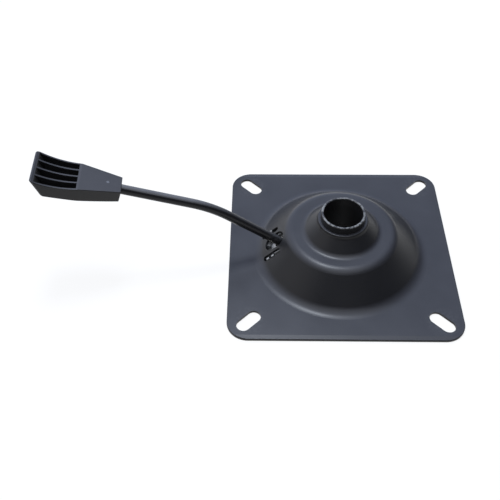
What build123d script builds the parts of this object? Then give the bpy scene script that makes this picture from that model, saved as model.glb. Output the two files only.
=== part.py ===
"""Stool plate: a pressed steel plate with a domed gas-spring socket and a sprung height lever."""
import os
from math import acos, atan2, cos, hypot, pi, radians, sin, sqrt, tan

from build123d import *

os.makedirs("parts", exist_ok=True)

# Pressed plate, lying on its flat mounting face
plate_side = 165.0
plate_sheet = 2.0
plate_corner_r = 15.0
plate_edge_r = 0.5
bolt_slot_inset = 15.3
bolt_slot_width = 10.0
bolt_slot_length = 20.0

# Dome, shoulder and flared neck, on their outer surface
dome_foot_r = 61.0
dome_shoulder_r = 39.0
dome_rise = 21.5
neck_foot_r = 27.75
neck_rise = 9.6
collar_rise = 2.0
dome_foot_fillet = 12.0
dome_shoulder_fillet = 9.0
neck_foot_fillet = 6.0
neck_fillet = 3.6
collar_lip_r = 0.6

# Tapered socket tube and its weld
socket_bore_d = 28.0
socket_wall = 2.0
socket_length = 28.0
socket_land = 6.0
socket_stand = 5.9
socket_taper = 20.0
socket_lip_r = 0.9
socket_fit = 0.05
weld_leg = 3.2

# Lever rod
lever_azimuth = 3.0
rod_d = 6.8
rod_exit_r = 47.8
rod_rise = 37.9
rod_upper_rise = 18.6
rod_lower_run = 58.3
rod_upper_run = 64.0
rod_bend_r = 84.0
rod_inner_bend_r = 9.0
rod_inner_clear = 2.0
rod_in_handle = 23.0
lever_travel = 7.0
tongue_reach = 6.5
tongue_length = 20.0
tongue_width = 10.0
tongue_thick = 3.6

# Lever window and bracket slots in the dome's wall
window_length = 18.0
window_width = 13.0
window_shift = 1.9
bracket_slot_width = 4.4
bracket_slot_length = 16.0
bracket_slot_shift = 6.0

# Zinc-plated bracket behind the wall
bracket_sheet = 1.5
bracket_gap = 22.6
bracket_clear = 0.2
tab_length = 7.0
tab_shift = 7.6
tab_stand = 0.6
tab_notch_width = 2.6
tab_notch_depth = 2.6
web_up = 7.5
web_down = 8.0
web_rod_clear = 0.5

# Pivot pin, clip and return spring
pivot_inset = 10.6
pin_d = 4.0
pin_head_d = 7.0
pin_head = 1.5
pin_run_clear = 0.05
pin_tail = 1.2
eye_wall = 2.4
ear_wall = 3.0
clip_sheet = 0.7
clip_rim = 1.9
clip_groove = 0.6
clip_clear = 0.05
clip_mouth = 2.4
spring_wire_d = 1.2
spring_turns = 4
spring_pitch = 1.3
spring_clear = 0.15
spring_leg = 8.0
spring_hook_reach = 14.0
spring_hook_past = 2.0

# Moulded handle
handle_length = 59.3
handle_neck = 27.8
handle_end_width = 15.0
handle_mid_width = 25.9
handle_tip_width = 31.2
handle_top = 4.1
handle_bottom = 5.0
handle_belly = 0.8
handle_scoop = 1.3
handle_tip_lift = 1.0
handle_tip_lean = 8.2
handle_tip_bottom = 6.6
handle_corner_r = 2.4
handle_edge_r = 0.5
handle_tip_land = 1.6
handle_crease_r = 2.0
handle_waist_r = 40.0
handle_rod_fit = 0.05
pocket_count = 4
pocket_wall = 1.4
pocket_tip_wall = 2.8
pocket_rib = 1.2
pocket_floor = 2.2
handle_pin_d = 2.0
handle_pin_at = 9.4
handle_pin_fit = 0.03
handle_pin_bite = 1.6

# Places that follow from the sizes
shoulder_z = plate_sheet + dome_rise
collar_z = shoulder_z + neck_rise
lip_z = collar_z + collar_rise
socket_r = socket_bore_d / 2 + socket_wall
collar_r = socket_r + socket_fit + plate_sheet
socket_top = lip_z + socket_stand
socket_bottom = socket_top - socket_length

up = Vector(0, 0, 1)
lever_out = Vector(-cos(radians(lever_azimuth)), -sin(radians(lever_azimuth)), 0)
lever_front = up.cross(lever_out)
wall_slope = atan2(dome_rise, dome_foot_r - dome_shoulder_r)
down_slope = lever_out * cos(wall_slope) - up * sin(wall_slope)
wall_normal = lever_out * sin(wall_slope) + up * cos(wall_slope)
exit_z = plate_sheet + (dome_foot_r - rod_exit_r) * tan(wall_slope)
exit_point = lever_out * rod_exit_r + up * exit_z
rod_dir = lever_out * cos(radians(rod_rise)) + up * sin(radians(rod_rise))
pivot_point = exit_point - rod_dir * pivot_inset
pivot_s = pivot_point.dot(lever_out)
pivot_z = pivot_point.Z
pivot_depth = (exit_point - pivot_point).dot(wall_normal)
pivot_shift = (pivot_point - exit_point).dot(down_slope)

bracket_half = bracket_gap / 2 + bracket_sheet
web_wall_r = rod_exit_r - web_up * cos(wall_slope) - plate_sheet / sin(wall_slope)
web_sag = (web_wall_r - sqrt(web_wall_r**2 - bracket_half**2)) * sin(wall_slope)
web_depth = plate_sheet + web_sag + bracket_clear
web_inner = web_depth + bracket_sheet
tab_wall_r = rod_exit_r + tab_shift * cos(wall_slope)
tab_sag = (tab_wall_r - sqrt(tab_wall_r**2 - bracket_half**2)) * sin(wall_slope)
tab_end = tab_sag - tab_stand

wall_plane = Plane(origin=exit_point, x_dir=down_slope, z_dir=wall_normal)
cheek_plane = Plane(origin=exit_point, x_dir=down_slope, z_dir=lever_front)
pivot_plane = Plane(origin=pivot_point, x_dir=lever_out, z_dir=lever_front)

# Pressed plate
with BuildPart() as mounting_plate:
    with BuildSketch(Plane.XZ):
        with BuildLine():
            FilletPolyline(
                (plate_side, plate_sheet),
                (dome_foot_r, plate_sheet),
                (dome_shoulder_r, shoulder_z),
                (neck_foot_r, shoulder_z),
                (collar_r, collar_z),
                (collar_r, lip_z),
                radius=[dome_foot_fillet, dome_shoulder_fillet, neck_foot_fillet, neck_fillet],
            )
            offset(amount=plate_sheet, side=Side.LEFT)
        make_face()
    revolve(axis=Axis.Z)
    fillet(mounting_plate.edges().group_by(Axis.Z)[-1].sort_by(SortBy.RADIUS)[-1], collar_lip_r)
    with BuildSketch():
        RectangleRounded(plate_side, plate_side, plate_corner_r)
    extrude(amount=socket_top, mode=Mode.INTERSECT)
    with BuildSketch():
        with PolarLocations((plate_side / 2 - bolt_slot_inset) * sqrt(2), 4, start_angle=45):
            SlotOverall(bolt_slot_length, bolt_slot_width)
    extrude(amount=plate_sheet, mode=Mode.SUBTRACT)
    with BuildSketch(wall_plane):
        with Locations((window_shift, 0)):
            SlotOverall(window_length, window_width)
        slot_y = bracket_half + bracket_clear - bracket_slot_width / 2
        with Locations((bracket_slot_shift, slot_y), (bracket_slot_shift, -slot_y)):
            SlotOverall(bracket_slot_length, bracket_slot_width)
    extrude(amount=2 * plate_sheet + web_sag, both=True, mode=Mode.SUBTRACT)
    rim = mounting_plate.faces().filter_by(Axis.Z).sort_by(SortBy.AREA)[-2:].sort_by(Axis.Z)[-1].outer_wire()
    fillet(rim.edges(), plate_edge_r)
mounting_plate.part.label = "mounting_plate"
export_step(mounting_plate.part, "parts/mounting_plate.step")

# Socket tube with a cylindrical land at its mouth and a taper below it
with BuildPart() as taper_socket:
    with BuildSketch(Plane.XZ):
        with BuildLine():
            land_z = socket_top - socket_land
            end_r = socket_bore_d / 2 - (land_z - socket_bottom) / socket_taper / 2
            Polyline(
                (socket_bore_d / 2, socket_top),
                (socket_r, socket_top),
                (socket_r, socket_bottom),
                (end_r, socket_bottom),
                (socket_bore_d / 2, land_z),
                close=True,
            )
        make_face()
    revolve(axis=Axis.Z)
    fillet(taper_socket.edges().group_by(Axis.Z)[-1], socket_lip_r)
taper_socket.part.label = "taper_socket"
export_step(taper_socket.part, "parts/taper_socket.step")

# Weld bead in the groove between the tube and the underside of the neck
with BuildPart() as socket_weld:
    with BuildSketch(Plane.XZ):
        with Locations((socket_r, collar_z - weld_leg)):
            Circle(weld_leg)
    revolve(axis=Axis.Z)
    with BuildSketch():
        Circle(socket_r)
    extrude(amount=socket_top, mode=Mode.SUBTRACT)
    add(mounting_plate.part, mode=Mode.SUBTRACT)
socket_weld.part.label = "socket_weld"
export_step(socket_weld.part, "parts/socket_weld.step")

# Bracket: web along the wall, cheeks that carry the pin, and tabs through the wall
with BuildPart() as lever_bracket:
    with BuildSketch(wall_plane.offset(-web_inner)):
        with Locations(((web_down - web_up) / 2, 0)):
            Rectangle(web_down + web_up, 2 * bracket_half)
    extrude(amount=bracket_sheet)
    with BuildSketch(wall_plane.offset(-web_inner)):
        web_travel = (pivot_depth - web_depth) * tan(radians(lever_travel))
        web_hole_width = rod_d + 2 * web_rod_clear
        with Locations((pivot_shift * web_inner / pivot_depth + web_travel / 2, 0)):
            SlotOverall(web_hole_width + web_travel + web_rod_clear, web_hole_width)
    extrude(amount=bracket_sheet, mode=Mode.SUBTRACT)
    ear_r = pin_d / 2 + ear_wall
    for cheek_start in (bracket_gap / 2, -bracket_half):
        with BuildSketch(cheek_plane.offset(cheek_start)):
            with BuildLine():
                Polyline(
                    (-web_up, web_depth),
                    (web_down, web_depth),
                    (web_down, web_inner),
                    (pivot_shift + ear_r, pivot_depth),
                    (pivot_shift - ear_r, pivot_depth),
                    (-web_up, web_inner),
                    close=True,
                )
            make_face()
            with Locations((pivot_shift, pivot_depth)):
                Circle(ear_r)
            with Locations((tab_shift, (tab_end + web_inner) / 2)):
                Rectangle(tab_length, web_inner - tab_end)
            with Locations((tab_shift, tab_end + tab_notch_depth / 2)):
                Rectangle(tab_notch_width, tab_notch_depth, mode=Mode.SUBTRACT)
            with Locations((pivot_shift, pivot_depth)):
                Circle(pin_d / 2 + pin_run_clear, mode=Mode.SUBTRACT)
        extrude(amount=bracket_sheet)
lever_bracket.part.label = "lever_bracket"
export_step(lever_bracket.part, "parts/lever_bracket.step")

# Headed pin with a groove for its clip
clip_start = bracket_half + clip_clear
pin_end = clip_start + clip_sheet + clip_clear + pin_tail
groove_r = pin_d / 2 - clip_groove
with BuildPart() as pivot_pin:
    with BuildSketch(pivot_plane.offset(-bracket_half - pin_head)):
        Circle(pin_head_d / 2)
    extrude(amount=pin_head)
    with BuildSketch(pivot_plane.offset(-bracket_half)):
        Circle(pin_d / 2)
    extrude(amount=bracket_half + pin_end)
    with BuildSketch(pivot_plane.offset(clip_start - clip_clear)):
        Circle(pin_d / 2)
        Circle(groove_r, mode=Mode.SUBTRACT)
    extrude(amount=clip_sheet + 2 * clip_clear, mode=Mode.SUBTRACT)
    chamfer(pivot_pin.faces().sort_by(Axis(pivot_point, lever_front))[-1].edges(), clip_groove / 2)
pivot_pin.part.label = "pivot_pin"
export_step(pivot_pin.part, "parts/pivot_pin.step")

# Spring clip in the pin's groove, open on one side
with BuildPart() as pin_clip:
    with BuildSketch(pivot_plane.offset(clip_start)):
        Circle(pin_d / 2 + clip_rim)
        Circle(groove_r + clip_clear, mode=Mode.SUBTRACT)
        with Locations((pin_d / 2 + clip_rim, 0)):
            Rectangle(pin_d + 2 * clip_rim, clip_mouth, mode=Mode.SUBTRACT)
    extrude(amount=clip_sheet)
pin_clip.part.label = "pin_clip"
export_step(pin_clip.part, "parts/pin_clip.step")

# Lever rod: tongue under the socket, pivot eye, bend and the straight end that the handle takes
tongue_z = rod_inner_clear + rod_d / 2
inner_corner = pivot_point - rod_dir * ((pivot_z - tongue_z) / sin(radians(rod_rise)))
bend_point = exit_point + rod_dir * rod_lower_run
upper_dir = lever_out * cos(radians(rod_upper_rise)) + up * sin(radians(rod_upper_rise))
upper_normal = up * cos(radians(rod_upper_rise)) - lever_out * sin(radians(rod_upper_rise))
handle_start = bend_point + upper_dir * rod_upper_run
rod_end = handle_start + upper_dir * rod_in_handle
rod_tail = lever_out * (tongue_length - tongue_reach - rod_d) + up * tongue_z
handle_plan = Plane(origin=handle_start, x_dir=upper_dir, z_dir=upper_normal)
handle_side = Plane(origin=handle_start, x_dir=upper_dir, z_dir=-lever_front)
eye_r = pin_d / 2 + eye_wall
tongue_plane = Plane(origin=(0, 0, tongue_z - tongue_thick / 2), x_dir=lever_out, z_dir=(0, 0, 1))
with BuildPart() as lever_rod:
    with BuildLine() as rod_path:
        FilletPolyline(rod_tail, inner_corner, bend_point, rod_end, radius=[rod_inner_bend_r, rod_bend_r])
    with BuildSketch(Plane(origin=rod_path.line @ 0, z_dir=rod_path.line % 0)):
        Circle(rod_d / 2)
    sweep()
    with BuildSketch(tongue_plane):
        with Locations((tongue_length / 2 - tongue_reach, 0)):
            RectangleRounded(tongue_length, tongue_width, tongue_width / 3)
    extrude(amount=tongue_thick)
    with BuildSketch(pivot_plane.offset(-rod_d / 2)):
        Circle(eye_r)
    extrude(amount=rod_d)
    with BuildSketch(pivot_plane.offset(-rod_d / 2)):
        Circle(pin_d / 2 + pin_run_clear)
    extrude(amount=rod_d, mode=Mode.SUBTRACT)
    with BuildSketch(handle_plan.offset(rod_d / 2 - handle_pin_bite)):
        with Locations((handle_pin_at, 0)):
            Circle(handle_pin_d / 2 + handle_pin_fit)
    extrude(amount=rod_d, mode=Mode.SUBTRACT)
lever_rod.part.label = "lever_rod"
export_step(lever_rod.part, "parts/lever_rod.step")

# Torsion spring round the pin: a hook over the rod, the coil, and a leg along the bracket's web
coil_r = pivot_depth - web_inner - spring_clear - spring_wire_d / 2
coil_lead = atan2(spring_pitch, 2 * pi * coil_r)
hook_z = tongue_z + rod_d / 2 + spring_clear + spring_wire_d / 2
hook_far = hypot(spring_hook_reach, hook_z - pivot_z)
hook_angle = pi - atan2(hook_z - pivot_z, spring_hook_reach)
hook_run = sqrt(hook_far**2 - coil_r**2)
coil_start_angle = hook_angle - acos(coil_r / hook_far)
coil_turn = spring_turns + (coil_start_angle - (pi / 2 - wall_slope)) / (2 * pi)
coil_height = coil_turn * spring_pitch
coil_y = rod_d / 2 + spring_clear + spring_wire_d / 2 + hook_run * tan(coil_lead)
coil_dir = lever_out * cos(coil_start_angle) + up * sin(coil_start_angle)
coil_tangent = lever_out * sin(coil_start_angle) - up * cos(coil_start_angle) + lever_front * tan(coil_lead)
coil_plane = Plane(origin=pivot_point + lever_front * coil_y, x_dir=coil_dir, z_dir=lever_front)
coil_first = coil_plane.origin + coil_dir * coil_r
hook_corner = coil_first - coil_tangent * hook_run
hook_tip = hook_corner - lever_front * (rod_d + spring_hook_past)
leg_start = pivot_point + lever_front * (coil_y + coil_height) + wall_normal * coil_r
leg_end = leg_start + (down_slope + lever_front * tan(coil_lead)) * spring_leg
with BuildPart() as return_spring:
    with BuildLine() as spring_path:
        FilletPolyline(hook_tip, hook_corner, coil_first, radius=spring_wire_d)
        add(Edge.make_helix(spring_pitch, coil_height, coil_r).moved(coil_plane.location))
        Line(leg_start, leg_end)
    with BuildSketch(Plane(origin=hook_tip, z_dir=hook_corner - hook_tip)):
        Circle(spring_wire_d / 2)
    sweep()
return_spring.part.label = "return_spring"
export_step(return_spring.part, "parts/return_spring.step")

# Pockets of the handle's scooped end: narrow strips between the ribs, over a floor that follows the underside
tip_top = handle_top + handle_tip_lift
tip_foot = handle_length - handle_tip_lean
tip_slope = atan2(tip_top + handle_tip_bottom, handle_tip_lean)
pocket_start = handle_neck + pocket_wall
pocket_low = pocket_floor - handle_bottom
pocket_high = 2 * tip_top
pocket_foot = tip_foot - pocket_tip_wall + (pocket_low + handle_tip_bottom) / tan(tip_slope)
pocket_end = tip_foot - pocket_tip_wall + (pocket_high + handle_tip_bottom) / tan(tip_slope)


def half_width(run):
    """Half the width of the scooped end at a distance from the handle's neck end."""
    share = (run - handle_neck) / (handle_length - handle_neck)
    return (handle_mid_width + (handle_tip_width - handle_mid_width) * share) / 2


with BuildPart() as pocket_tool:
    with BuildSketch(handle_plan):
        for pocket in range(pocket_count):
            with BuildLine():
                near = 2 * (half_width(pocket_start) - pocket_wall)
                far = 2 * (half_width(pocket_end) - pocket_wall)
                near_step = (near + pocket_rib) / pocket_count
                far_step = (far + pocket_rib) / pocket_count
                Polyline(
                    (pocket_start, -near / 2 + pocket * near_step),
                    (pocket_end, -far / 2 + pocket * far_step),
                    (pocket_end, -far / 2 + (pocket + 1) * far_step - pocket_rib),
                    (pocket_start, -near / 2 + (pocket + 1) * near_step - pocket_rib),
                    close=True,
                )
            make_face()
    extrude(amount=pocket_high, both=True)
    with BuildSketch(handle_side):
        with BuildLine():
            Polyline(
                (pocket_start, pocket_low),
                (pocket_foot, pocket_low),
                (pocket_end, pocket_high),
                (pocket_start, pocket_high),
                close=True,
            )
        make_face()
    extrude(amount=handle_tip_width, both=True, mode=Mode.INTERSECT)

# Handle: a plan cut by the side outline, rounded edges, pockets, the rod's bore and the pin's hole
plan_end = handle_length + handle_corner_r
with BuildPart() as lever_handle:
    with BuildSketch(handle_plan) as handle_outline:
        with BuildLine():
            Polyline(
                (0, -handle_end_width / 2),
                (handle_neck, -handle_mid_width / 2),
                (plan_end, -half_width(plan_end)),
                (plan_end, half_width(plan_end)),
                (handle_neck, handle_mid_width / 2),
                (0, handle_end_width / 2),
                close=True,
            )
        make_face()
        fillet(handle_outline.vertices().sort_by(Axis.X)[2:4], handle_waist_r)
    extrude(amount=handle_length, both=True)
    with BuildSketch(handle_side) as handle_profile:
        with BuildLine():
            Polyline((handle_neck, handle_top), (0, handle_top), (0, -handle_bottom))
            ThreePointArc(
                (0, -handle_bottom),
                (tip_foot / 2, -(handle_bottom + handle_tip_bottom) / 2 - handle_belly),
                (tip_foot, -handle_tip_bottom),
            )
            Polyline(
                (tip_foot, -handle_tip_bottom),
                (handle_length, tip_top),
                (handle_length - handle_tip_land, tip_top),
            )
            ThreePointArc(
                (handle_length - handle_tip_land, tip_top),
                ((handle_neck + handle_length) / 2, handle_top - handle_scoop),
                (handle_neck, handle_top),
            )
        make_face()
        creases = handle_profile.vertices().sort_by(Axis.X)
        fillet([creases[2], creases[-2]], handle_crease_r)
    extrude(amount=handle_tip_width, both=True, mode=Mode.INTERSECT)
    upright = lever_handle.edges().filter_by(lambda edge: abs((edge % 0.5).dot(upper_normal)) > 0.6)
    fillet(upright.sort_by(Axis(handle_start, upper_dir))[-2:], handle_corner_r)
    fillet(lever_handle.edges(), handle_edge_r)
    add(pocket_tool.part, mode=Mode.SUBTRACT)
    with BuildSketch(Plane(origin=handle_start, z_dir=upper_dir)):
        Circle(rod_d / 2 + handle_rod_fit)
    extrude(amount=rod_in_handle + handle_rod_fit, mode=Mode.SUBTRACT)
    with BuildSketch(handle_plan):
        with Locations((handle_pin_at, 0)):
            Circle(handle_pin_d / 2 + handle_pin_fit)
    extrude(amount=handle_top, mode=Mode.SUBTRACT)
lever_handle.part.label = "lever_handle"
export_step(lever_handle.part, "parts/lever_handle.step")

# Pin through the handle's neck into the rod
with BuildPart() as handle_pin:
    with BuildSketch(handle_plan.offset(rod_d / 2 - handle_pin_bite + handle_pin_fit)):
        with Locations((handle_pin_at, 0)):
            Circle(handle_pin_d / 2)
    extrude(amount=handle_top - rod_d / 2 + handle_pin_bite - handle_pin_fit)
handle_pin.part.label = "handle_pin"
export_step(handle_pin.part, "parts/handle_pin.step")
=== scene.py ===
import math

import bpy
from mathutils import Matrix, Vector


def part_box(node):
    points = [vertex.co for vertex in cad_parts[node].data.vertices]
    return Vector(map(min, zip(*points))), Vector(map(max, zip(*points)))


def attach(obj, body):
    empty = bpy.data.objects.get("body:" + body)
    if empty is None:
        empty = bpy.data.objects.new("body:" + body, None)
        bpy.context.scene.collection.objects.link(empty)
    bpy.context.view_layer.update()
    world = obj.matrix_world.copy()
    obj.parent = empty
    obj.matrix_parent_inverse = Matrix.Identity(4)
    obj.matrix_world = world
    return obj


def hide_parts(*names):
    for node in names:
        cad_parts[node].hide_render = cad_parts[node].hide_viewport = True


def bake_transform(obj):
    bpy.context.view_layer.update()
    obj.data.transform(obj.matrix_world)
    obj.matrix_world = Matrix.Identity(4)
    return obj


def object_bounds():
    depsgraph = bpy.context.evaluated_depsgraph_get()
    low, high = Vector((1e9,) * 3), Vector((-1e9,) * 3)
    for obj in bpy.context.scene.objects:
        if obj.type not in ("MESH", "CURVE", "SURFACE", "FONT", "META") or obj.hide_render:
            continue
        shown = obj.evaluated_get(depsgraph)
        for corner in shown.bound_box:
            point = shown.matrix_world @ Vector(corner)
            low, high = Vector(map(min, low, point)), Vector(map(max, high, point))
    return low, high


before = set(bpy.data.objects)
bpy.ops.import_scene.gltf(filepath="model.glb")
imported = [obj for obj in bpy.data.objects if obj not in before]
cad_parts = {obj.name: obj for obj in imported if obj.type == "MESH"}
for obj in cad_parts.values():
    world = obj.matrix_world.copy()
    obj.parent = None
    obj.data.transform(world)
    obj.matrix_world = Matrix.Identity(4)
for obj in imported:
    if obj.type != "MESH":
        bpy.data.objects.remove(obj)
cad_low, cad_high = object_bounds()

bl_info = {
    "name": "Stool Plate Finishes",
    "version": (1, 0, 0),
    "blender": (4, 5, 0),
    "location": "3D View > Sidebar > Stool Plate",
    "description": "Dresses a stool's mounting plate, gas-spring socket and height lever",
    "category": "Object",
}

MM = 0.001

# Places on the part
PLATE_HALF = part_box("mounting_plate")[1].y
SOCKET_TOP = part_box("taper_socket")[1].z
EDGE_ROLL = (3.6 * MM, 0.6 * MM)
BOLT_SLOT_AT = 67.2 * MM
WASHER_RING = (8.5 * MM, 13.5 * MM)
# Band below the socket's top that takes wear and a painted highlight
LIP_WEAR_AND_HIGHLIGHT = (0.5 * MM, 0.1 * MM)
ROD_EXIT = 48 * MM
ROD_WEAR = (2 * MM, 9 * MM)
LEVER_AZIMUTH = math.radians(3.0)
WALL_NORMAL = (-0.6977, -0.0366, 0.7155)
WALL_HEIGHT = 44.05 * MM
# Depths behind the dome's wall over which the bracket's painted shade comes in
SHADE_DEPTH = (1.8 * MM, 4.2 * MM)

# Finish of the coat, the plastic and the bare metals
COAT_SPECULAR = 0.25
PLASTIC_SPECULAR = 0.3
SOCKET_ROUGHER = 0.06
WELD_ROUGHER = 0.04
ROD_SMOOTHER = 0.08
# How flat a face must be to take painted light rather than painted shade, from none to full
PAINTED_LIGHT_NONE = 0.70
PAINTED_LIGHT_FULL = 0.97
ZINC_STAIN = (0.12, 0.118, 0.11, 1)
ZINC_SPANGLE = (0.42, 0.44, 0.48, 1)
OIL_FILM = (0.11, 0.10, 0.095, 1)

# Ripples of the weld bead, and the wire's mesh
RIPPLE_WIDTH = 0.92
RIPPLE_OVERLAP = 0.85
RIPPLE_LEAN = math.radians(16)
RIPPLE_VOXEL = 0.32 * MM
TUBE_CLEAR = 0.02 * MM
BEAD_MERGE = 0.01 * MM
BEAD_CREASE = math.radians(50)
WIRE_MERGE = 0.001 * MM
WIRE_CREASE = math.radians(40)

# Floor, lamps and camera
FLOOR_SIZE = 40
FLOOR_DROP = 0.02 * MM
UNDER_PLATE = (0.068, 0.080)
HORIZON_FOOT = (-0.06, -0.03)
HORIZON_FADE = (0.085, 0.135)
LAMP_AT = Vector((-0.096, 0.342, 1.2))
FILL_DEPTH = 0.7
FILL_CONE = math.radians(22)
FILL_BLEND = 0.5
FILL_SIZE = 0.12
SENSOR_WIDTH = 36
CAMERA_AT = Vector((-0.05797, -0.35721, 0.40671))
CAMERA_PITCH = 0.850017
CAMERA_YAW = -0.025978
CAMERA_ROLL = 0.0138085

# Soft boxes: their values on the stage, their direction, and the angles of their edge and core
SOFT_BOXES = (
    ("rear", (-0.25, 0.75, 0.75), 60, 25),
    ("top", (0, -0.17, 1), 31, 25),
    ("left", (-1, 0.1, 0.25), 70, 24),
    ("front", (0, -0.75, 0.7), 72, 20),
)


class StoolPlateSteel(bpy.types.PropertyGroup):
    """Paint and metal of the plate, its socket and the lever's fittings."""

    # The paint is the coat's shaded copy, on steep faces, and the next colour is its lit copy, on flat
    # faces: painted shade and painted light
    paint: bpy.props.FloatVectorProperty(
        name="Paint", description="Colour of the satin black coat on the plate and the socket",
        subtype="COLOR", size=4, min=0, max=1, default=(0.0098, 0.0100, 0.0116, 1))
    paint_lit: bpy.props.FloatVectorProperty(
        name="Lit paint", description="Colour of the coat on flat faces, under a film of sheen",
        subtype="COLOR", size=4, min=0, max=1, default=(0.034, 0.0355, 0.0435, 1))
    # Painted highlight: the lighter coat that the rod's upward and downward faces take
    rod_painted_highlight: bpy.props.FloatVectorProperty(
        name="Highlit paint",
        description="Colour of the coat along the upper side of the rod, where highlights pass",
        subtype="COLOR", size=4, min=0, max=1, default=(0.12, 0.1225, 0.135, 1))
    # The scuff colour is wear round the bolts, on the rod and the weld, and partly a painted highlight on
    # the socket's lip
    scuff_and_highlight: bpy.props.FloatVectorProperty(
        name="Scuff", description="Colour of the coat where bolts and edges have rubbed it",
        subtype="COLOR", size=4, min=0, max=1, default=(0.17, 0.174, 0.18, 1))
    gloss: bpy.props.FloatProperty(
        name="Coat roughness", description="Mean roughness of the satin coat",
        subtype="FACTOR", min=0.05, max=1, default=0.32)
    peel: bpy.props.FloatProperty(
        name="Orange peel", description="Width of the ripples in the sprayed coat",
        unit="LENGTH", min=0.0002, max=0.01, default=0.0012)
    zinc: bpy.props.FloatVectorProperty(
        name="Zinc", description="Colour of the plated bracket and clip",
        subtype="COLOR", size=4, min=0, max=1, default=(0.36, 0.37, 0.385, 1))
    steel: bpy.props.FloatVectorProperty(
        name="Turned steel", description="Colour of the bare pins",
        subtype="COLOR", size=4, min=0, max=1, default=(0.56, 0.56, 0.57, 1))
    # Painted shade on the bracket where it lies deep behind the dome's wall
    recess_shade: bpy.props.FloatVectorProperty(
        name="Shade", description="Colour of the greasy plating on the bracket behind the wall",
        subtype="COLOR", size=4, min=0, max=1, default=(0.045, 0.042, 0.038, 1))
    dull: bpy.props.FloatVectorProperty(
        name="Dull steel", description="Colour of the tarnished pin in the handle",
        subtype="COLOR", size=4, min=0, max=1, default=(0.17, 0.17, 0.175, 1))
    spring: bpy.props.FloatVectorProperty(
        name="Spring wire", description="Colour of the oiled spring wire",
        subtype="COLOR", size=4, min=0, max=1, default=(0.20, 0.20, 0.215, 1))


class StoolPlateHandle(bpy.types.PropertyGroup):
    """The moulded handle's plastic."""

    # The plastic is the shaded copy, on steep faces, and the next colour is its lit copy, on flat faces:
    # painted shade and painted light
    plastic: bpy.props.FloatVectorProperty(
        name="Plastic", description="Colour of the moulded handle",
        subtype="COLOR", size=4, min=0, max=1, default=(0.010, 0.010, 0.0108, 1))
    plastic_lit: bpy.props.FloatVectorProperty(
        name="Lit plastic", description="Colour of the handle's flat faces, under a film of sheen",
        subtype="COLOR", size=4, min=0, max=1, default=(0.041, 0.042, 0.0505, 1))
    grain: bpy.props.FloatProperty(
        name="Grain", description="Width of the fine grain of the mould",
        unit="LENGTH", min=0.0001, max=0.005, default=0.0005)
    gloss: bpy.props.FloatProperty(
        name="Plastic roughness", description="Mean roughness of the plastic",
        subtype="FACTOR", min=0.05, max=1, default=0.42)


class StoolPlateWeld(bpy.types.PropertyGroup):
    """The weld bead between the socket and the neck."""

    radius: bpy.props.FloatProperty(
        name="Bead radius", description="Radius of the circle that the bead's middle follows",
        unit="LENGTH", min=0.005, max=0.05, default=0.0169)
    leg: bpy.props.FloatProperty(
        name="Bead leg", description="Half the height of the bead",
        unit="LENGTH", min=0.001, max=0.01, default=0.0031)
    ripples: bpy.props.IntProperty(
        name="Ripples", description="Number of frozen ripples round the bead",
        min=12, max=200, default=58)


class StoolPlateStage(bpy.types.PropertyGroup):
    """Floor, lights and camera."""

    floor_colour: bpy.props.FloatVectorProperty(
        name="Floor", description="Colour of the floor under the lights",
        subtype="COLOR", size=4, min=0, max=1, default=(0.16, 0.16, 0.16, 1))
    floor_white: bpy.props.FloatProperty(
        name="Floor white", description="Plain white added to the floor as it is seen",
        min=0, max=1, default=0.81)
    rear_colour: bpy.props.FloatVectorProperty(
        name="Rear box", description="Colour of the broad soft light behind and above",
        subtype="COLOR", size=4, min=0, max=1, default=(0.64, 0.75, 1.0, 1))
    rear_level: bpy.props.FloatProperty(
        name="Rear box level", description="Brightness of the light behind and above",
        min=0, max=10, default=1.25)
    top_colour: bpy.props.FloatVectorProperty(
        name="Ceiling panel", description="Colour of the broad panel right above",
        subtype="COLOR", size=4, min=0, max=1, default=(0.92, 0.95, 1.0, 1))
    top_level: bpy.props.FloatProperty(
        name="Ceiling panel level", description="Brightness of the panel right above",
        min=0, max=10, default=1.8)
    left_colour: bpy.props.FloatVectorProperty(
        name="Left box", description="Colour of the soft light at the left",
        subtype="COLOR", size=4, min=0, max=1, default=(1.0, 0.98, 0.96, 1))
    left_level: bpy.props.FloatProperty(
        name="Left box level", description="Brightness of the light at the left",
        min=0, max=10, default=0.85)
    front_colour: bpy.props.FloatVectorProperty(
        name="Front fill", description="Colour of the faint light in front",
        subtype="COLOR", size=4, min=0, max=1, default=(0.97, 0.98, 1.0, 1))
    front_level: bpy.props.FloatProperty(
        name="Front fill level", description="Brightness of the light in front",
        min=0, max=10, default=0.06)
    room_colour: bpy.props.FloatVectorProperty(
        name="Room", description="Dim light from the rest of the room",
        subtype="COLOR", size=4, min=0, max=1, default=(0.05, 0.05, 0.053, 1))
    lamp_power: bpy.props.FloatProperty(
        name="Lamp", description="Power of the soft box overhead",
        subtype="POWER", min=0, max=100, default=8.0)
    lamp_colour: bpy.props.FloatVectorProperty(
        name="Lamp colour", description="Colour of the soft box overhead",
        subtype="COLOR", size=4, min=0, max=1, default=(0.86, 0.92, 1.0, 1))
    lamp_size: bpy.props.FloatProperty(
        name="Lamp size", description="Side of the soft box overhead",
        unit="LENGTH", min=0.05, max=3, default=0.26)
    fill_power: bpy.props.FloatProperty(
        name="Underside fill", description="Power of the lamp that shines on the underside alone",
        subtype="POWER", min=0, max=100, default=14.0)
    lens: bpy.props.FloatProperty(
        name="Lens", description="Focal length of the camera",
        subtype="DISTANCE_CAMERA", min=10, max=300, default=51.35)


def node(tree, kind, inputs=None, **settings):
    """Adds one node; an input may be a value or another node's output."""
    made = tree.nodes.new(kind)
    for key, value in settings.items():
        setattr(made, key, value)
    for key, value in (inputs or {}).items():
        if isinstance(value, bpy.types.NodeSocket):
            tree.links.new(value, made.inputs[key])
        else:
            made.inputs[key].default_value = value
    return made


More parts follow.
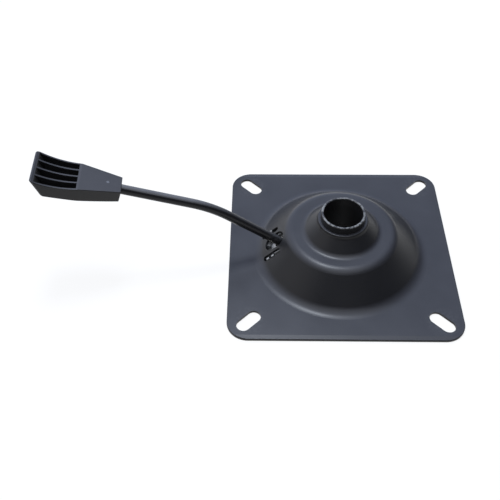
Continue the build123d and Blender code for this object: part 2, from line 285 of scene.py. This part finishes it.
def start_finish(name):
    """An empty material with its object coordinates."""
    material = bpy.data.materials.new(name)
    material.use_nodes = True
    tree = material.node_tree
    tree.nodes.clear()
    return material, tree, node(tree, "ShaderNodeTexCoord").outputs["Object"]


def close_finish(tree, colour, roughness, normal, **fixed):
    """The surface shader, with its steady values set on its own sockets."""
    shader = node(tree, "ShaderNodeBsdfPrincipled", {
        "Base Color": colour, "Roughness": roughness, "Normal": normal})
    for key, value in fixed.items():
        shader.inputs[key.replace("_", " ").title().replace("Ior", "IOR")].default_value = value
    node(tree, "ShaderNodeOutputMaterial", {"Surface": shader.outputs["BSDF"]})


def noise(tree, place, width, detail=2.0):
    """Soft random patches about as wide as given."""
    made = node(tree, "ShaderNodeTexNoise", {"Vector": place, "Scale": 1 / width, "Detail": detail})
    return made.outputs["Fac"]


def spread(tree, value, low, high, to_low, to_high):
    """Maps a value from one range to another, held at the ends."""
    made = node(tree, "ShaderNodeMapRange", {
        "Value": value, "From Min": low, "From Max": high, "To Min": to_low, "To Max": to_high})
    return made.outputs["Result"]


def blend(tree, share, first, second):
    """Mixes two colours."""
    made = node(tree, "ShaderNodeMix", data_type="RGBA")
    tree.links.new(share, made.inputs["Factor"])
    for index, value in ((6, first), (7, second)):
        if isinstance(value, bpy.types.NodeSocket):
            tree.links.new(value, made.inputs[index])
        else:
            made.inputs[index].default_value = value
    return made.outputs[2]


def sums(tree, operation, first, second=0.0):
    """One step of arithmetic."""
    made = node(tree, "ShaderNodeMath", {0: first, 1: second}, operation=operation)
    return made.outputs["Value"]


def raised(tree, height, depth, strength, under=None):
    """Bump from a height between 0 and 1."""
    inputs = {"Height": height, "Distance": depth, "Strength": strength}
    if under is not None:
        inputs["Normal"] = under
    return node(tree, "ShaderNodeBump", inputs).outputs["Normal"]


def split(tree, place):
    """The three parts of a place."""
    return node(tree, "ShaderNodeSeparateXYZ", {"Vector": place}).outputs


def mirrored(tree, place):
    """The three parts of a place, alike on both sides of the plate's middle."""
    flipped = node(tree, "ShaderNodeVectorMath", {0: place}, operation="ABSOLUTE")
    return split(tree, flipped.outputs["Vector"])


def lit_by_facing(tree, cloud):
    """Share of painted light: much on flat faces, none on steep ones, which keep the darker painted shade,
    in soft clouds.
    """
    facing = split(tree, node(tree, "ShaderNodeTexCoord").outputs["Normal"])["Z"]
    flat = spread(tree, sums(tree, "ABSOLUTE", facing), PAINTED_LIGHT_NONE, PAINTED_LIGHT_FULL, 0, 1)
    return sums(tree, "MULTIPLY", flat, spread(tree, cloud, 0.3, 0.7, 0.8, 1))


def satin_coat(name, steel, wear_and_highlight, roughness, light, border=False):
    """Sprayed satin black with orange peel, faint clouds, painted light on flat faces, painted shade on
    steep ones, and rubbed places.
    """
    material, tree, place = start_finish(name)
    cloud = noise(tree, place, 30 * MM, 3)
    peel = noise(tree, place, steel.peel, 1.5)
    speck = noise(tree, place, 0.4 * MM, 1)
    # Painted light and shade: flat faces take the lit colour, steep faces the darker paint
    colour = blend(tree, lit_by_facing(tree, cloud), steel.paint, light)
    # On the socket's lip this rubbed colour is partly a painted highlight
    worn_and_highlit = wear_and_highlight(tree, place)
    patchiness = spread(tree, noise(tree, place, 2.2 * MM, 4), 0.42, 0.62, 0, 1)
    patchy = sums(tree, "MULTIPLY", worn_and_highlit, patchiness)
    colour = blend(tree, patchy, colour, steel.scuff_and_highlight)
    rough = sums(tree, "ADD", spread(tree, cloud, 0.3, 0.7, roughness - 0.03, roughness + 0.04),
                 spread(tree, speck, 0.3, 0.7, -0.02, 0.02))
    rough = sums(tree, "ADD", rough, sums(tree, "MULTIPLY", patchy, 0.12))
    bump = raised(tree, peel, 0.12 * MM, 0.12)
    bump = raised(tree, speck, 0.02 * MM, 0.2, bump)
    if border:
        bump = raised(tree, rolled(tree, place), 0.66 * MM, 1.0, bump)
    close_finish(tree, colour, rough, bump, specular_ior_level=COAT_SPECULAR)
    return material


def rolled(tree, place):
    """Height of the sheared top edge, which rolls off at the plate's front and back."""
    start, end = (PLATE_HALF - inset for inset in EDGE_ROLL)
    return spread(tree, mirrored(tree, place)["Y"], start, end, 1, 0)


def rub_by_bolts(tree, place):
    """Rings round the four bolt slots, where washers turn."""
    parts = mirrored(tree, place)
    over_x = sums(tree, "SUBTRACT", parts["X"], BOLT_SLOT_AT)
    over_y = sums(tree, "SUBTRACT", parts["Y"], BOLT_SLOT_AT)
    away = sums(tree, "SQRT", sums(tree, "ADD", sums(tree, "MULTIPLY", over_x, over_x),
                                   sums(tree, "MULTIPLY", over_y, over_y)))
    return spread(tree, away, *WASHER_RING, 0.07, 0)


def rub_and_highlight_on_lip(tree, place):
    """The socket's top edge, where the gas spring's taper goes in; its rubbed colour is partly a painted
    highlight.
    """
    start, end = (SOCKET_TOP - below for below in LIP_WEAR_AND_HIGHLIGHT)
    return spread(tree, split(tree, place)["Z"], start, end, 0, 1.5)


def rub_on_rod(tree, place):
    """The rod by the dome's window, where it rubs."""
    near = sums(tree, "ABSOLUTE", sums(tree, "ADD", split(tree, place)["X"], ROD_EXIT))
    return spread(tree, near, *ROD_WEAR, 0.08, 0)


def rub_on_bead(tree, place):
    """Burnt specks where the coat is thin over the weld."""
    return spread(tree, noise(tree, place, 4 * MM, 2), 0.5, 0.7, 0, 0.15)


def zinc_plate(name, steel):
    """Zinc with a faint spangle, darkened by painted shade where it lies deep behind the dome's wall."""
    material, tree, place = start_finish(name)
    patch = noise(tree, place, 6 * MM, 3)
    cells = node(tree, "ShaderNodeTexVoronoi", {"Vector": place, "Scale": 900.0}).outputs["Color"]
    grey = node(tree, "ShaderNodeRGBToBW", {"Color": cells}).outputs["Val"]
    tint = blend(tree, spread(tree, patch, 0.35, 0.65, 0, 1), steel.zinc, ZINC_STAIN)
    colour = blend(tree, spread(tree, grey, 0.2, 0.8, 0, 0.3), tint, ZINC_SPANGLE)
    # Painted shade: the zinc darkens the deeper it lies behind the dome's wall, in soft blotches
    height = node(tree, "ShaderNodeVectorMath", {0: place, 1: WALL_NORMAL}, operation="DOT_PRODUCT")
    depth = sums(tree, "SUBTRACT", WALL_HEIGHT, height.outputs["Value"])
    deep = spread(tree, depth, *SHADE_DEPTH, 0, 1)
    shade_patches = spread(tree, noise(tree, place, 5 * MM, 2), 0.40, 0.60, 0.55, 0.15)
    shaded = sums(tree, "MULTIPLY", deep, shade_patches)
    colour = blend(tree, shaded, colour, steel.recess_shade)
    rough = spread(tree, sums(tree, "ADD", patch, grey), 0.5, 1.4, 0.30, 0.46)
    bump = raised(tree, noise(tree, place, 0.8 * MM, 2), 0.04 * MM, 0.3)
    close_finish(tree, colour, rough, bump, metallic=1.0)
    return material


def turned_steel(name, metal):
    """Bare steel with fine rings across the pin."""
    material, tree, place = start_finish(name)
    turned = node(tree, "ShaderNodeMapping", {"Vector": place, "Rotation": (0, 0, -LEVER_AZIMUTH)})
    grooves = node(tree, "ShaderNodeTexWave", {
        "Vector": turned.outputs["Vector"], "Scale": 700.0, "Distortion": 1.2, "Detail": 2.0},
        bands_direction="Y")
    rings = grooves.outputs["Fac"]
    stain = noise(tree, place, 4 * MM, 3)
    darker = tuple(0.6 * part for part in metal[:3]) + (1,)
    colour = blend(tree, spread(tree, stain, 0.4, 0.7, 0, 0.6), metal, darker)
    rough = spread(tree, sums(tree, "ADD", rings, stain), 0.4, 1.6, 0.24, 0.42)
    close_finish(tree, colour, rough, raised(tree, rings, 0.03 * MM, 0.4), metallic=1.0)
    return material


def oiled_wire(name, steel):
    """Dark drawn wire under a film of oil."""
    material, tree, place = start_finish(name)
    film = noise(tree, place, 3 * MM, 3)
    drawn = noise(tree, place, 0.3 * MM, 2)
    colour = blend(tree, spread(tree, film, 0.4, 0.65, 0, 1), steel.spring, OIL_FILM)
    rough = spread(tree, film, 0.35, 0.65, 0.22, 0.42)
    close_finish(tree, colour, rough, raised(tree, drawn, 0.03 * MM, 0.3), metallic=1.0)
    return material


def moulded_plastic(name, handle):
    """Black plastic with a fine mould grain, faint flow marks, and painted light on flat faces and painted
    shade on steep ones.
    """
    material, tree, place = start_finish(name)
    flow = noise(tree, place, 20 * MM, 3)
    grain = node(tree, "ShaderNodeTexVoronoi", {"Vector": place, "Scale": 1 / handle.grain},
                 feature="SMOOTH_F1").outputs["Distance"]
    hair = noise(tree, place, 1.5 * MM, 4)
    # Painted light and shade: flat faces take the lit colour, steep faces the darker plastic
    colour = blend(tree, lit_by_facing(tree, flow), handle.plastic, handle.plastic_lit)
    rough = sums(tree, "ADD", spread(tree, flow, 0.3, 0.7, handle.gloss - 0.03, handle.gloss + 0.04),
                 spread(tree, hair, 0.45, 0.7, 0, 0.05))
    bump = raised(tree, grain, 0.05 * MM, 0.25)
    close_finish(tree, colour, rough, bump, specular_ior_level=PLASTIC_SPECULAR)
    return material


def wear_on(name, material):
    """Gives a solid of the frame its finish."""
    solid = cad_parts[name]
    solid.data.materials.clear()
    solid.data.materials.append(material)


def only(piece):
    """Leaves one object selected and active."""
    bpy.ops.object.select_all(action="DESELECT")
    piece.select_set(True)
    bpy.context.view_layer.objects.active = piece


def fresh(name):
    """Names the primitive just added."""
    piece = bpy.context.active_object
    piece.name = name
    piece.data.name = name
    return piece


def tube_radius():
    """Outer radius of the socket tube."""
    low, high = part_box("taper_socket")
    return (high.x - low.x) / 2


class STOOLPLATE_OT_plate(bpy.types.Operator):
    """Sprays the pressed plate in satin black"""

    bl_idname = "stool_plate.plate"
    bl_label = "Paint Mounting Plate"

    def execute(self, context):
        steel = context.scene.stool_plate_steel
        coat = satin_coat(
            "plate satin black", steel, rub_by_bolts, steel.gloss, steel.paint_lit, border=True)
        wear_on("mounting_plate", coat)
        return {"FINISHED"}


class STOOLPLATE_OT_socket(bpy.types.Operator):
    """Sprays the tapered socket and rubs its lip, with a painted highlight along it"""

    bl_idname = "stool_plate.socket"
    bl_label = "Paint Taper Socket"

    def execute(self, context):
        steel = context.scene.stool_plate_steel
        roughness = steel.gloss + SOCKET_ROUGHER
        coat = satin_coat("socket satin black", steel, rub_and_highlight_on_lip, roughness, steel.paint_lit)
        wear_on("taper_socket", coat)
        return {"FINISHED"}


class STOOLPLATE_OT_weld(bpy.types.Operator):
    """Models the rippled weld bead under the neck"""

    bl_idname = "stool_plate.weld"
    bl_label = "Model Socket Weld"

    def execute(self, context):
        weld = context.scene.stool_plate_weld
        low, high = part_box("socket_weld")
        middle = Vector((weld.radius, 0, (low.z + high.z) / 2))
        bpy.ops.object.select_all(action="DESELECT")
        bpy.ops.mesh.primitive_uv_sphere_add(
            segments=20, ring_count=12, radius=weld.leg, location=(0, 0, 0))
        bead = fresh("rippled_weld")
        pitch = 2 * math.pi * weld.radius / weld.ripples
        bpy.ops.object.mode_set(mode="EDIT")
        bpy.ops.mesh.select_all(action="SELECT")
        bpy.ops.transform.resize(value=(RIPPLE_WIDTH, RIPPLE_OVERLAP * pitch / weld.leg, 1))
        bpy.ops.transform.rotate(value=RIPPLE_LEAN, orient_axis="X", center_override=(0, 0, 0))
        bpy.ops.transform.translate(value=middle)
        bpy.ops.mesh.spin(
            steps=weld.ripples, dupli=True, angle=2 * math.pi, center=(0, 0, 0), axis=(0, 0, 1))
        bpy.ops.object.mode_set(mode="OBJECT")
        fuse = bead.modifiers.new("fuse ripples", "REMESH")
        fuse.mode = "VOXEL"
        fuse.voxel_size = RIPPLE_VOXEL
        bpy.ops.object.modifier_apply(modifier=fuse.name)
        bpy.ops.mesh.primitive_cylinder_add(
            vertices=128, radius=tube_radius() + TUBE_CLEAR, depth=4 * weld.leg, location=(0, 0, middle.z))
        cutter = fresh("socket_gauge")
        only(bead)
        trim = bead.modifiers.new("trim to the tube", "BOOLEAN")
        trim.operation = "DIFFERENCE"
        trim.object = cutter
        bpy.ops.object.modifier_apply(modifier=trim.name)
        bpy.data.objects.remove(cutter)
        bpy.ops.object.mode_set(mode="EDIT")
        bpy.ops.mesh.select_all(action="SELECT")
        bpy.ops.mesh.remove_doubles(threshold=BEAD_MERGE)
        bpy.ops.mesh.normals_make_consistent(inside=False)
        bpy.ops.object.mode_set(mode="OBJECT")
        bpy.ops.object.shade_smooth_by_angle(angle=BEAD_CREASE)
        steel = context.scene.stool_plate_steel
        roughness = steel.gloss + WELD_ROUGHER
        coat = satin_coat("weld satin black", steel, rub_on_bead, roughness, steel.paint_lit)
        bead.data.materials.append(coat)
        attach(bead, "plate")
        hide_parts("socket_weld")
        return {"FINISHED"}


class STOOLPLATE_OT_bracket(bpy.types.Operator):
    """Plates the lever bracket in zinc"""

    bl_idname = "stool_plate.bracket"
    bl_label = "Plate Lever Bracket"

    def execute(self, context):
        wear_on("lever_bracket", zinc_plate("bracket zinc", context.scene.stool_plate_steel))
        return {"FINISHED"}


class STOOLPLATE_OT_fittings(bpy.types.Operator):
    """Finishes the pivot pin, its clip and the handle's pin"""

    bl_idname = "stool_plate.fittings"
    bl_label = "Finish Small Fittings"

    def execute(self, context):
        steel = context.scene.stool_plate_steel
        wear_on("pivot_pin", turned_steel("pivot turned steel", steel.steel))
        wear_on("handle_pin", turned_steel("handle pin steel", steel.dull))
        wear_on("pin_clip", zinc_plate("clip zinc", steel))
        return {"FINISHED"}


class STOOLPLATE_OT_spring(bpy.types.Operator):
    """Models the return spring from a smooth copy of its solid"""

    bl_idname = "stool_plate.spring"
    bl_label = "Model Return Spring"

    def execute(self, context):
        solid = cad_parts["return_spring"]
        wire = bpy.data.objects.new("sprung_wire", solid.data.copy())
        wire.data.name = "sprung_wire"
        wire.data.transform(solid.matrix_world)
        context.collection.objects.link(wire)
        only(wire)
        bpy.ops.object.mode_set(mode="EDIT")
        bpy.ops.mesh.select_all(action="SELECT")
        bpy.ops.mesh.remove_doubles(threshold=WIRE_MERGE)
        bpy.ops.mesh.normals_make_consistent(inside=False)
        bpy.ops.object.mode_set(mode="OBJECT")
        bpy.ops.object.shade_smooth_by_angle(angle=WIRE_CREASE)
        wire.data.materials.clear()
        wire.data.materials.append(oiled_wire("oiled spring wire", context.scene.stool_plate_steel))
        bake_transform(wire)
        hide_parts("return_spring")
        return {"FINISHED"}


class STOOLPLATE_OT_rod(bpy.types.Operator):
    """Sprays the bent lever rod"""

    bl_idname = "stool_plate.rod"
    bl_label = "Paint Lever Rod"

    def execute(self, context):
        steel = context.scene.stool_plate_steel
        roughness = steel.gloss - ROD_SMOOTHER
        # The rod's flat-facing upper and lower sides take a painted highlight along its top
        wear_on("lever_rod", satin_coat("rod satin black", steel, rub_on_rod, roughness, steel.rod_painted_highlight))
        return {"FINISHED"}


class STOOLPLATE_OT_handle(bpy.types.Operator):
    """Moulds the handle in black plastic"""

    bl_idname = "stool_plate.handle"
    bl_label = "Mould Lever Handle"

    def execute(self, context):
        handle = context.scene.stool_plate_handle
        wear_on("lever_handle", moulded_plastic("handle black plastic", handle))
        return {"FINISHED"}


def soft_box(tree, heading, towards, edge, core, colour, level):
    """A round soft patch of light in one direction, full inside its core and gone past its edge."""
    middle = Vector(towards).normalized()
    facing = node(tree, "ShaderNodeVectorMath", {0: heading, 1: middle}, operation="DOT_PRODUCT")
    patch = node(tree, "ShaderNodeMapRange", {
        "Value": facing.outputs["Value"], "From Min": math.cos(math.radians(edge)),
        "From Max": math.cos(math.radians(core)), "To Max": level}, interpolation_type="SMOOTHSTEP")
    light = node(tree, "ShaderNodeVectorMath", {
        0: tuple(colour)[:3], "Scale": patch.outputs["Result"]}, operation="SCALE")
    return light.outputs["Vector"]


def studio_light(stage):
    """Soft boxes round the plate, in a dim room with a pale horizon."""
    world = bpy.data.worlds.new("studio")
    bpy.context.scene.world = world
    world.use_nodes = True
    tree = world.node_tree
    tree.nodes.clear()
    heading = node(tree, "ShaderNodeTexCoord").outputs["Generated"]
    height = split(tree, heading)["Z"]
    below = spread(tree, height, *HORIZON_FADE, 1, 0)
    above = spread(tree, height, *HORIZON_FOOT, 0, 1)
    pale = sums(tree, "MULTIPLY", below, above)
    room = node(tree, "ShaderNodeVectorMath", {0: tuple(stage.room_colour)[:3], 1: pale}, operation="ADD")
    total = room.outputs["Vector"]
    for name, towards, edge, core in SOFT_BOXES:
        colour = getattr(stage, name + "_colour")
        level = getattr(stage, name + "_level")
        box = soft_box(tree, heading, towards, edge, core, colour, level)
        total = node(tree, "ShaderNodeVectorMath", {0: total, 1: box}, operation="ADD").outputs["Vector"]
    glow = node(tree, "ShaderNodeBackground", {"Color": total})
    node(tree, "ShaderNodeOutputWorld", {"Surface": glow.outputs["Background"]})


def floor_finish(stage):
    """Pale floor, white where it is seen, dark under the dome as painted shade, and clear from below. It
    keeps the shadow.
    """
    material, tree, place = start_finish("pale floor")
    path = node(tree, "ShaderNodeLightPath").outputs
    seen = sums(tree, "MAXIMUM", sums(tree, "MAXIMUM", path["Is Camera Ray"], path["Is Glossy Ray"]),
                path["Is Transmission Ray"])
    matt = node(tree, "ShaderNodeBsdfDiffuse", {"Color": tuple(stage.floor_colour)}).outputs["BSDF"]
    # Painted shade: the floor's white is left out under the plate, where shade falls
    out = node(tree, "ShaderNodeVectorMath", {0: place}, operation="LENGTH").outputs["Value"]
    open_floor = spread(tree, out, *UNDER_PLATE, 0, stage.floor_white)
    white = node(tree, "ShaderNodeEmission", {
        "Color": (1, 1, 1, 1), "Strength": sums(tree, "MULTIPLY", seen, open_floor)}).outputs["Emission"]
    lit = node(tree, "ShaderNodeAddShader", {0: matt, 1: white}).outputs["Shader"]
    clear = node(tree, "ShaderNodeBsdfTransparent").outputs["BSDF"]
    below = node(tree, "ShaderNodeNewGeometry").outputs["Backfacing"]
    through = sums(tree, "MAXIMUM", below, path["Is Shadow Ray"])
    both = node(tree, "ShaderNodeMixShader", {0: through, 1: lit, 2: clear}).outputs["Shader"]
    node(tree, "ShaderNodeOutputMaterial", {"Surface": both})
    return material


def camera_turn():
    """Rotation of a camera that looks down by its pitch, aside by its yaw, and leans by its roll."""
    level = Vector((math.cos(CAMERA_YAW), -math.sin(CAMERA_YAW), 0))
    along = Vector((math.sin(CAMERA_YAW), math.cos(CAMERA_YAW), 0))
    ahead = along * math.cos(CAMERA_PITCH) - Vector((0, 0, math.sin(CAMERA_PITCH)))
    down = ahead.cross(level)
    right = level * math.cos(CAMERA_ROLL) + down * math.sin(CAMERA_ROLL)
    under = down * math.cos(CAMERA_ROLL) - level * math.sin(CAMERA_ROLL)
    return Matrix((right, -under, -ahead)).transposed()


class STOOLPLATE_OT_stage(bpy.types.Operator):
    """Lays the floor, hangs the lights and sets the camera"""

    bl_idname = "stool_plate.stage"
    bl_label = "Set Stage"

    def execute(self, context):
        stage = context.scene.stool_plate_stage
        bpy.ops.object.select_all(action="DESELECT")
        bpy.ops.mesh.primitive_plane_add(size=FLOOR_SIZE, location=(0, 0, cad_low.z - FLOOR_DROP))
        floor = fresh("floor")
        bpy.ops.object.transform_apply(location=True)
        floor.data.materials.append(floor_finish(stage))
        studio_light(stage)
        bpy.ops.object.light_add(type="AREA", location=LAMP_AT)
        lamp = bpy.context.active_object
        lamp.name = "overhead soft box"
        lamp.rotation_euler = LAMP_AT.to_track_quat("Z", "Y").to_euler()
        lamp.data.size = stage.lamp_size
        lamp.data.color = stage.lamp_colour[:3]
        lamp.data.energy = stage.lamp_power
        bpy.ops.object.light_add(type="SPOT", location=(0, 0, -FILL_DEPTH), rotation=(math.pi, 0, 0))
        fill = bpy.context.active_object
        fill.name = "underside fill"
        fill.data.energy = stage.fill_power
        fill.data.spot_size = FILL_CONE
        fill.data.spot_blend = FILL_BLEND
        fill.data.shadow_soft_size = FILL_SIZE
        bpy.ops.object.camera_add()
        camera = bpy.context.active_object
        camera.name = "camera"
        camera.data.sensor_width = SENSOR_WIDTH
        camera.data.lens = stage.lens
        camera.matrix_world = Matrix.Translation(CAMERA_AT) @ camera_turn().to_4x4()
        context.scene.camera = camera
        context.scene.view_settings.view_transform = "Standard"
        return {"FINISHED"}


class STOOLPLATE_PT_panel(bpy.types.Panel):
    """Lists the finishes of the stool plate"""

    bl_idname = "STOOLPLATE_PT_panel"
    bl_label = "Stool Plate"
    bl_space_type = "VIEW_3D"
    bl_region_type = "UI"
    bl_category = "Stool Plate"

    def draw(self, context):
        layout = self.layout
        for name in GROUPS:
            values = getattr(context.scene, name)
            box = layout.box()
            box.label(text=name.replace("stool_plate_", "").title())
            for key in values.__annotations__:
                box.prop(values, key)
        for operator in OPERATORS:
            layout.operator(operator.bl_idname)


GROUPS = {
    "stool_plate_steel": StoolPlateSteel,
    "stool_plate_handle": StoolPlateHandle,
    "stool_plate_weld": StoolPlateWeld,
    "stool_plate_stage": StoolPlateStage,
}
OPERATORS = (
    STOOLPLATE_OT_plate, STOOLPLATE_OT_socket, STOOLPLATE_OT_weld, STOOLPLATE_OT_bracket,
    STOOLPLATE_OT_fittings, STOOLPLATE_OT_spring, STOOLPLATE_OT_rod, STOOLPLATE_OT_handle,
    STOOLPLATE_OT_stage,
)


def register():
    for name, group in GROUPS.items():
        bpy.utils.register_class(group)
        setattr(bpy.types.Scene, name, bpy.props.PointerProperty(type=group))
    for operator in OPERATORS:
        bpy.utils.register_class(operator)
    bpy.utils.register_class(STOOLPLATE_PT_panel)


def unregister():
    bpy.utils.unregister_class(STOOLPLATE_PT_panel)
    for operator in reversed(OPERATORS):
        bpy.utils.unregister_class(operator)
    for name, group in GROUPS.items():
        delattr(bpy.types.Scene, name)
        bpy.utils.unregister_class(group)


def main():
    register()
    bpy.ops.stool_plate.stage()
    bpy.ops.stool_plate.plate()
    bpy.ops.stool_plate.socket()
    bpy.ops.stool_plate.weld()
    bpy.ops.stool_plate.bracket()
    bpy.ops.stool_plate.fittings()
    bpy.ops.stool_plate.spring()
    bpy.ops.stool_plate.rod()
    bpy.ops.stool_plate.handle()


if __name__ == "__main__":
    main()
